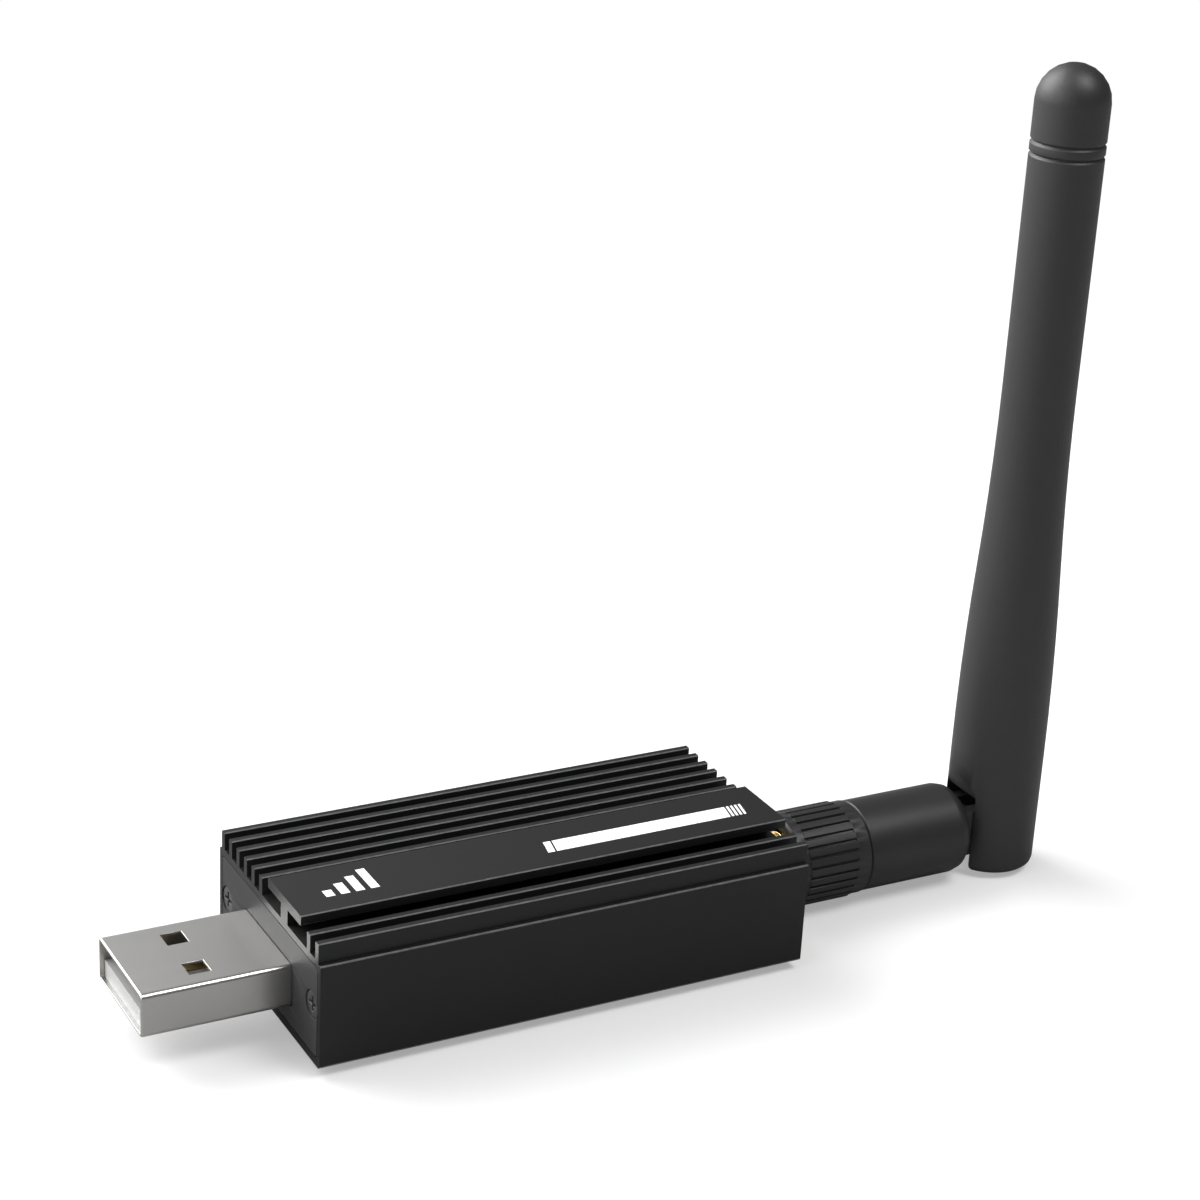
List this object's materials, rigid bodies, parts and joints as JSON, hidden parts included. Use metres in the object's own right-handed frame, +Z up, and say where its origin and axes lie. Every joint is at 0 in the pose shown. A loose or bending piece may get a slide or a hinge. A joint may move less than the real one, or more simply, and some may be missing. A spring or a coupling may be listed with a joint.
{
  "type": "smart home usb radio stick",
  "caption": "Finned aluminium radio stick with a plug at one end and a screw-on antenna that tilts and swivels.",
  "frame": {"origin": "centre of the flat underside of the housing", "axes": "+X along the stick from the plug to the antenna, +Z up, +Y to the side with six fins"},
  "size_m": [0.1033, 0.0254, 0.0872],
  "materials": {
    "housing_black": "satin black anodised extrusion",
    "plate_black": "satin black anodised plate",
    "screw_black": "black zinc plated",
    "plug_nickel": "nickel plated sheet",
    "tongue_white": "moulded white",
    "contact_gold": "gold plated",
    "board_green": "solder masked glass laminate",
    "can_tin": "tin plated sheet",
    "chip_black": "moulded epoxy",
    "crystal_steel": "lidded can",
    "resistor_black": "glazed ceramic",
    "capacitor_tan": "fired ceramic",
    "coil_white": "fired ceramic",
    "light_lens": "clear moulded lens",
    "switch_steel": "plated cover",
    "plunger_black": "moulded",
    "jack_gold": "gold plated, threaded",
    "jack_white": "fluoropolymer",
    "pin_gold": "gold plated",
    "fastener_gold": "gold plated",
    "sleeve_black": "moulded, splined grip",
    "insert_brass": "turned",
    "ferrule_brass": "turned and plated",
    "elbow_black": "satin moulded",
    "whip_black": "fine matt moulded",
    "cable_brown": "fluoropolymer jacket",
    "bush_white": "turned",
    "radiator_brass": "drawn"
  },
  "bodies": {
    "stick": {"housing_shell": "housing_black", "front_end_plate": "plate_black", "rear_end_plate": "plate_black", "end_plate_screws": "screw_black", "usb_plug_shell": "plug_nickel", "usb_tongue": "tongue_white", "usb_contacts": "contact_gold", "circuit_board": "board_green", "radio_shield_can": "can_tin", "radio_chip": "chip_black", "usb_bridge_chip": "chip_black", "voltage_regulator": "chip_black", "surge_protector": "chip_black", "radio_crystal": "crystal_steel", "clock_crystal": "crystal_steel", "chip_resistors": "resistor_black", "chip_capacitors": "capacitor_tan", "matching_coils": "coil_white", "status_lights": "light_lens", "boot_switch_body": "switch_steel", "reset_switch_body": "switch_steel", "coax_jack_body": "jack_gold", "coax_jack_insulator": "jack_white", "coax_jack_contact": "pin_gold", "coax_jack_washer": "fastener_gold", "coax_jack_nut": "fastener_gold"},
    "antenna_core": {"antenna_ferrule": "ferrule_brass", "antenna_insulator": "jack_white", "antenna_centre_pin": "pin_gold"},
    "coupling_nut": {"coupling_nut_sleeve": "sleeve_black", "coupling_nut_insert": "insert_brass"},
    "elbow": {"elbow": "elbow_black"},
    "whip": {"whip_sleeve": "whip_black", "feed_cable": "cable_brown", "cable_bush": "bush_white", "radiator_skirt": "radiator_brass", "radiator_rod": "radiator_brass", "rod_bush": "bush_white"},
    "boot_plunger": {"boot_switch_plunger": "plunger_black"},
    "reset_plunger": {"reset_switch_plunger": "plunger_black"}
  },
  "joints": [
    {"name": "nut_spin", "type": "hinge", "parent": "antenna_core", "child": "coupling_nut", "pos_m": [0.035, 0, 0.00411], "axis": [1, 0, 0], "range_deg": [0, 2160]},
    {"name": "antenna_draw_off", "type": "slide", "parent": "stick", "child": "antenna_core", "axis": [1, 0, 0], "range_m": [0, 0.00423]},
    {"name": "antenna_swivel", "type": "hinge", "parent": "antenna_core", "child": "elbow", "pos_m": [0.042, 0, 0.00411], "axis": [1, 0, 0], "continuous": true},
    {"name": "antenna_tilt", "type": "hinge", "parent": "elbow", "child": "whip", "pos_m": [0.0577, 0, 0.00411], "axis": [0, 1, 0], "range_deg": [0, 90], "deforming": ["feed_cable"]},
    {"name": "boot_switch_press", "type": "slide", "parent": "stick", "child": "boot_plunger", "axis": [0, 0, -1], "range_m": [0, 0.00025], "stiffness_N_per_m": 1000, "springref_m": -0.0005},
    {"name": "reset_switch_press", "type": "slide", "parent": "stick", "child": "reset_plunger", "axis": [0, 0, -1], "range_m": [0, 0.00025], "stiffness_N_per_m": 1000, "springref_m": -0.0005}
  ],
  "couplings": [
    {"joint": "nut_spin", "follows": "antenna_draw_off", "rad_per_m": 8905.3}
  ]
}
